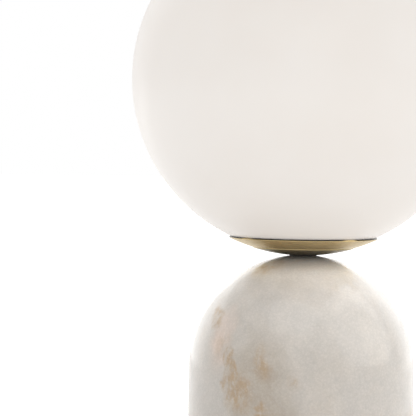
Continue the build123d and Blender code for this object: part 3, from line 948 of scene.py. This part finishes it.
@dataclass
class StemStack(SubAssembly):
    """The threaded stem with its washers and nuts."""

    looks = {
        "base_washer": "zinc_plate", "lock_washer": "zinc_plate", "base_nut": "zinc_plate",
        "seat_washer": "black_fibre", "carrier_washer": "zinc_plate",
        "carrier_nut": "bright_brass",
    }
    radius: float = 5.0
    bore: float = 3.6
    pitch: float = 1.0
    depth: float = 0.42
    run: float = 0.8
    rows: int = 6
    segments: int = 40

    def made(self) -> list[Piece]:
        """Cut the stem's thread.

        Returns:
            The tube.
        """
        low, high = (corner.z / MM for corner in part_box("stem_tube"))
        heights = levels(low, high, round((high - low) / self.pitch * self.rows))
        outline = [(self.bore, low), *((self.radius, z) for z in heights), (self.bore, high)]

        def thread(radius: float, height: float, angle: float) -> float:
            """Cut the thread's flanks and leave the bore.

            Args:
                radius: Distance from the axis.
                height: Height above the table.
                angle: Angle round the axis in radians.

            Returns:
                The new distance.
            """
            phase = (height / self.pitch - angle / TURN) % 1.0
            full = fade(height, low, high, self.run) * (1.0 - abs(2 * phase - 1.0))
            return radius - self.depth * (1.0 - full) if radius >= self.radius else radius

        mesh = turn("threaded_stem", outline, self.segments, self.sharp, thread)
        zinc = [self.finishes["zinc_plate"]]
        return [link(mesh, zinc, Body.BASE, "stem_tube")]


@dataclass
class BrassSeat(SubAssembly):
    """The brass dish on its foot disc, the gasket and the sprung carrier inside."""

    looks = {
        "foot_disc": "foot_brass", "brass_dish": "dish_brass", "glass_gasket": "black_rubber",
        "carrier_plate": "zinc_plate", "spring_clips": "spring_steel",
        "clip_rivets": "zinc_plate",
    }


class Skin(IntEnum):
    """The globe's faces, as places in its list of materials."""

    OUTSIDE = 0
    EDGE = 1
    INSIDE = 2


@dataclass
class Globe(SubAssembly):
    """The blown globe: an even shell, open below, with a ground edge."""

    radius: float = GLOBE_RADIUS
    wall: float = 3.0
    opening: float = 34.0
    land: float = 36.5
    lip_round: float = 0.5
    outer_steps: int = 150
    inner_steps: int = 110
    segments: int = 320
    sharp: float = 25.0
    edge_height: float = 0.35
    edge_tilt: float = -0.8

    def made(self) -> list[Piece]:
        """Build the shell.

        Returns:
            The shell.
        """
        low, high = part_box("glass_globe")
        edge, centre = low.z / MM, high.z / MM - self.radius
        inner = self.radius - self.wall
        start = math.degrees(math.asin(self.land / self.radius))
        lip = math.degrees(math.asin((self.opening + self.lip_round) / inner))
        outline = arc(self.radius, centre, start, 180.0, self.outer_steps)
        outline += arc(inner, centre, 180.0, lip, self.inner_steps)
        lip_z = centre - math.sqrt(inner**2 - self.opening**2)
        outline += rounded([
            (self.opening, lip_z - self.lip_round, 0), (self.opening, edge, self.lip_round),
            (self.land, edge, 0),
        ])[:-1]
        mesh = turn("globe_shell", outline, self.segments, self.sharp)
        middle, within = Vector((0.0, 0.0, centre * MM)), (self.radius - self.wall / 2) * MM
        for face in mesh.polygons:
            low_down = face.center.z < (edge + self.edge_height) * MM
            if low_down and face.normal.z < self.edge_tilt:
                face.material_index = Skin.EDGE
            elif (face.center - middle).length < within:
                face.material_index = Skin.INSIDE
        skins = [self.finishes[name] for name in ("opal_glass", "ground_glass", "opal_inside")]
        return [link(mesh, skins, Body.GLOBE, "glass_globe")]


@dataclass
class Lampholder(SubAssembly):
    """The screw lampholder: housing, contact block, threaded shell and contacts."""

    looks = {
        "lampholder_cap": "black_phenolic", "lampholder_core": "white_steatite",
        "lampholder_sleeve": "black_phenolic", "centre_contact": "bright_brass",
        "terminal_screws": "bright_brass", "grub_screw": "zinc_plate",
    }
    shell_inner: float = 6.95
    shell_wall: float = 0.22
    pitch: float = 2.82
    depth: float = 0.3
    run: float = 1.2
    rows: int = 110
    segments: int = 96

    def made(self) -> list[Piece]:
        """Roll the thread of the side contact.

        Returns:
            The contact.
        """
        low, high = (corner.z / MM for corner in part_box("screw_shell"))
        heights = levels(low, high, self.rows)
        outer = self.shell_inner + self.shell_wall
        outline = [(outer, z) for z in heights] + [(self.shell_inner, z) for z in reversed(heights)]

        def thread(radius: float, height: float, angle: float) -> float:
            """Return the radius of the rolled thread."""
            swing = math.sin(TURN * height / self.pitch - angle)
            return radius + self.depth * (0.5 + 0.5 * swing * fade(height, low, high, self.run))

        mesh = turn("socket_shell", outline, self.segments, self.sharp, thread)
        brass = self.finishes["bright_brass"]
        return [link(mesh, [brass], Body.BASE, "screw_shell")]


@dataclass
class Bulb(SubAssembly):
    """The screw-in bulb: cap with its rolled thread, plastic body, board and dome."""

    looks = {
        "bulb_tip": "tinned_lead", "bulb_insulator": "black_glass",
        "bulb_collar": "white_plastic", "led_board": "chip_board",
        "bulb_diffuser": "opal_plastic",
    }
    cap_radius: float = 6.85
    spigot_radius: float = 6.35
    foot: float = 0.4
    foot_points: tuple[Point, ...] = ((0.0, 0.0), (5.4, 0.0), (6.5, 0.08))
    floor_points: tuple[Point, ...] = ((5.2, 0.5), (0.0, 0.5))
    pitch: float = 2.82
    depth: float = 0.5
    run: float = 1.5
    plain_top: float = 6.2
    crimps: int = 10
    crimp_gap: float = 4.3
    crimp_rise: float = 3.4
    crimp_radius: float = 0.55
    crimp_depth: float = 0.22
    rows: int = 120
    segments: int = 120

    def made(self) -> list[Piece]:
        """Roll the cap's thread and punch its crimps.

        Returns:
            The cap.
        """
        low, high = (corner.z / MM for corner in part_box("bulb_cap"))
        start, seam = low + self.foot, high - self.plain_top
        heights = levels(start, high, self.rows)
        outline = [(radius, low + rise) for radius, rise in self.foot_points]
        outline += [(self.cap_radius, z) for z in heights]
        outline += [(self.spigot_radius, z) for z in reversed(heights[:-1])]
        outline += [(radius, low + rise) for radius, rise in self.floor_points]

        def thread(radius: float, height: float, angle: float) -> float:
            """Shape the rolled thread, the plain collar and its crimps.

            Args:
                radius: Distance from the axis.
                height: Height above the table.
                angle: Angle round the axis in radians.

            Returns:
                The new distance.
            """
            if radius < self.spigot_radius or height < start:
                return radius
            wave = 0.5 - 0.5 * math.sin(TURN * height / self.pitch - angle)
            reach = radius - self.depth * wave * fade(height, start, seam, self.run)
            if radius > self.spigot_radius:
                aside = ((angle * self.crimps / TURN) % 1.0 - 0.5) * self.crimp_gap
                spot = math.hypot(aside, height - seam - self.crimp_rise)
                reach -= self.crimp_depth * max(0.0, 1.0 - spot / self.crimp_radius)
            return reach

        mesh = turn("bulb_screw_cap", outline, self.segments, self.sharp, thread)
        return [link(mesh, [self.finishes["nickel"]], Body.BULB, "bulb_cap")]


# ---- Studio ----


class Reach(Enum):
    """What a studio lamp lights: everything, the stone and the brass on it, or the floor."""

    ALL = "all"
    LOW = "low"
    FLOOR = "floor"


@dataclass(frozen=True)
class Softbox:
    """A rectangular studio lamp. Places and sizes in metres.

    A low lamp passes the globe, as light passes opal glass, and lights only what stands below it.
    """

    name: str
    place: Triple
    size: Point
    power: float
    aim: Triple = (0.0, 0.0, 0.18)
    reach: Reach = Reach.ALL

    def build(self, targets: dict[Reach, Group], glass: Group) -> None:
        """Hang the softbox.

        Args:
            targets: What a lamp of limited reach lights.
            glass: What a low lamp passes.
        """
        light = bpy.data.lights.new(self.name, "AREA")
        light.shape = "RECTANGLE"
        light.size, light.size_y = self.size
        light.energy = self.power
        lamp = bpy.data.objects.new(self.name, light)
        lamp.location = self.place
        towards = Vector(self.aim) - Vector(self.place)
        lamp.rotation_mode = "QUATERNION"
        lamp.rotation_quaternion = towards.to_track_quat("-Z", "Y")
        bpy.context.scene.collection.objects.link(lamp)
        if self.reach in targets:
            lamp.light_linking.receiver_collection = targets[self.reach]
        if self.reach is Reach.LOW:
            lamp.light_linking.blocker_collection = glass


@dataclass
class Studio:
    """White room, pale floor, soft lamps and the camera at the photograph's angle."""

    lens: float = 240.0
    sensor: float = 36.0
    clip: Point = (0.05, 60.0)
    distance: float = 1.5986
    elevation: float = 1.8
    lean: float = 0.85
    target: Point = (-0.0552, 0.16666)
    daylight: Colour = (1.0, 0.985, 0.97)
    ambient: float = 0.912
    floor_reach: float = 9.0
    floor_sides: int = 96
    floor_drop: float = 0.0001
    floor_lift: Point = (0.22, 0.45)
    floor_fade: Point = (0.25, 0.9)
    floor_specks: Point = (30.0, 3.0)
    floor_tone: Point = (0.95, 0.97)
    softboxes: tuple[Softbox, ...] = (
        Softbox("key_right", (1.30, -0.30, 0.45), (0.7, 0.7), 0.45),
        Softbox("low_key", (1.239, -0.38, 1.022), (2.0, 2.0), 15.5, (0.0, 0.0, 0.08), Reach.LOW),
        Softbox("low_front", (-0.28, -0.85, 1.40), (1.2, 1.0), 5.0, (0.0, 0.0, 0.10), Reach.LOW),
        Softbox("low_left", (-1.0, 1.2, 0.35), (1.5, 1.2), 4.4, (0.0, 0.0, 0.08), Reach.LOW),
        Softbox("low_right", (0.95, 1.25, 0.35), (1.5, 1.2), 3.4, (0.0, 0.0, 0.08), Reach.LOW),
        Softbox("low_back", (-0.05, 1.9, 0.35), (1.4, 1.1), 3.0, (0.0, 0.0, 0.10), Reach.LOW),
        Softbox("floor_wash", (0.7, -0.4, 1.30), (1.2, 1.2), 2.5, (0.5, -0.2, 0.0), Reach.FLOOR),
        Softbox("front", (0.1, -1.5, 0.95), (1.2, 0.6), 1.2, (0.0, 0.0, 0.12)),
        Softbox("rim_right", (0.75, 0.85, 0.45), (0.5, 1.2), 0.7),
        Softbox("rim_left", (-0.75, 0.85, 0.45), (0.5, 1.2), 0.6),
    )

    def camera(self) -> None:
        """Place the camera: long lens, nearly level, the picture leaning a little to the right."""
        data = bpy.data.cameras.new("camera")
        data.lens, data.sensor_width = self.lens, self.sensor
        data.clip_start, data.clip_end = self.clip
        camera = bpy.data.objects.new("camera", data)
        tilt = math.radians(self.elevation)
        back = Vector((0.0, -math.cos(tilt), math.sin(tilt)))
        camera.location = Vector((self.target[0], 0.0, self.target[1])) + back * self.distance
        camera.rotation_mode = "QUATERNION"
        roll = Quaternion((0.0, 0.0, 1.0), math.radians(self.lean))
        camera.rotation_quaternion = (-back).to_track_quat("-Z", "Y") @ roll
        bpy.context.scene.collection.objects.link(camera)
        bpy.context.scene.camera = camera

    @staticmethod
    def seen_plainly(nodes: bpy.types.Nodes, links: bpy.types.NodeLinks) -> Socket:
        """Tell rays of the camera and of sharp reflections and glass from the others.

        Args:
            nodes: The tree's nodes.
            links: The tree's links.

        Returns:
            1 for those rays, else 0.
        """
        path = nodes.new("ShaderNodeLightPath")
        share = path.outputs["Is Camera Ray"]
        for name in ("Is Glossy Ray", "Is Transmission Ray"):
            larger = nodes.new("ShaderNodeMath")
            larger.operation = "MAXIMUM"
            links.new(share, larger.inputs[0])
            links.new(path.outputs[name], larger.inputs[1])
            share = larger.outputs[0]
        return share

    def room(self) -> None:
        """Make the world: white to the eye, a softer even light on the lamp."""
        world = bpy.data.worlds.new("room")
        bpy.context.scene.world = world
        world.use_nodes = True
        nodes, links = world.node_tree.nodes, world.node_tree.links
        nodes.clear()
        blend = nodes.new("ShaderNodeMixShader")
        links.new(self.seen_plainly(nodes, links), blend.inputs[0])
        shades = ((self.daylight, self.ambient), ((1.0, 1.0, 1.0), 1.0))
        for place, (colour, strength) in enumerate(shades, 1):
            shade = nodes.new("ShaderNodeBackground")
            shade.inputs["Color"].default_value = (*colour, 1.0)
            shade.inputs["Strength"].default_value = strength
            links.new(shade.outputs[0], blend.inputs[place])
        out = nodes.new("ShaderNodeOutputWorld")
        links.new(blend.outputs[0], out.inputs["Surface"])

    def floor(self) -> None:
        """Lay the pale floor, which looks white but keeps the lamp's shadow."""
        tree = Tree("studio_floor")
        seen = self.seen_plainly(tree.nodes, tree.links)
        speck = tree.spread(tree.noise(*self.floor_specks), *self.floor_tone)
        paint = tree.add("BsdfDiffuse", {"Color": speck})
        lift = tree.span(tree.axis_distance(), *self.floor_fade, *self.floor_lift)
        glow = tree.add("Emission", {"Strength": tree.calc("MULTIPLY", seen, lift)})
        both = tree.add("AddShader", {0: paint.outputs[0], 1: glow.outputs[0]})
        tree.add("OutputMaterial", {"Surface": both.outputs[0]})
        grid = bmesh.new()
        sides, reach = self.floor_sides, self.floor_reach
        bmesh.ops.create_circle(grid, cap_ends=True, segments=sides, radius=reach)
        mesh = bpy.data.meshes.new("floor")
        grid.to_mesh(mesh)
        grid.free()
        mesh.materials.append(tree.material)
        floor = bpy.data.objects.new("floor", mesh)
        floor.location.z = -self.floor_drop
        bpy.context.scene.collection.objects.link(floor)

    @staticmethod
    def linked(name: str, state: str, *pieces: Piece) -> Group:
        """Gather pieces for a lamp's light linking.

        Args:
            name: The collection's name.
            state: INCLUDE for pieces that take part, EXCLUDE for pieces that don't.
            *pieces: The pieces.

        Returns:
            The collection.
        """
        group = bpy.data.collections.new(name)
        for piece in pieces:
            group.objects.link(piece)
        for entry in group.collection_objects:
            entry.light_linking.link_state = state
        return group

    def build(self) -> None:
        """Set the whole studio up."""
        bpy.context.scene.view_settings.view_transform = "Standard"
        self.camera()
        self.room()
        self.floor()
        lower = (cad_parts[node] for node in ("marble_base", "foot_disc", "brass_dish"))
        targets = {
            Reach.LOW: self.linked("below", "INCLUDE", *lower),
            Reach.FLOOR: self.linked("sweep", "INCLUDE", bpy.data.objects["floor"]),
        }
        glass = self.linked("glass", "EXCLUDE", bpy.data.objects["globe_shell"])
        for softbox in self.softboxes:
            softbox.build(targets, glass)


def main() -> None:
    """Build the lamp from the table up, then the studio, and report each piece."""
    logging.basicConfig(level=logging.INFO, format="%(name)s: %(message)s")
    finishes = build_finishes()
    for kind in (StoneBase, StemStack, BrassSeat, Globe, Lampholder, Bulb):
        for name in kind(finishes).build():
            LOG.info("%s: %s", kind.__name__, name)
    Studio().build()


if __name__ == "__main__":
    main()
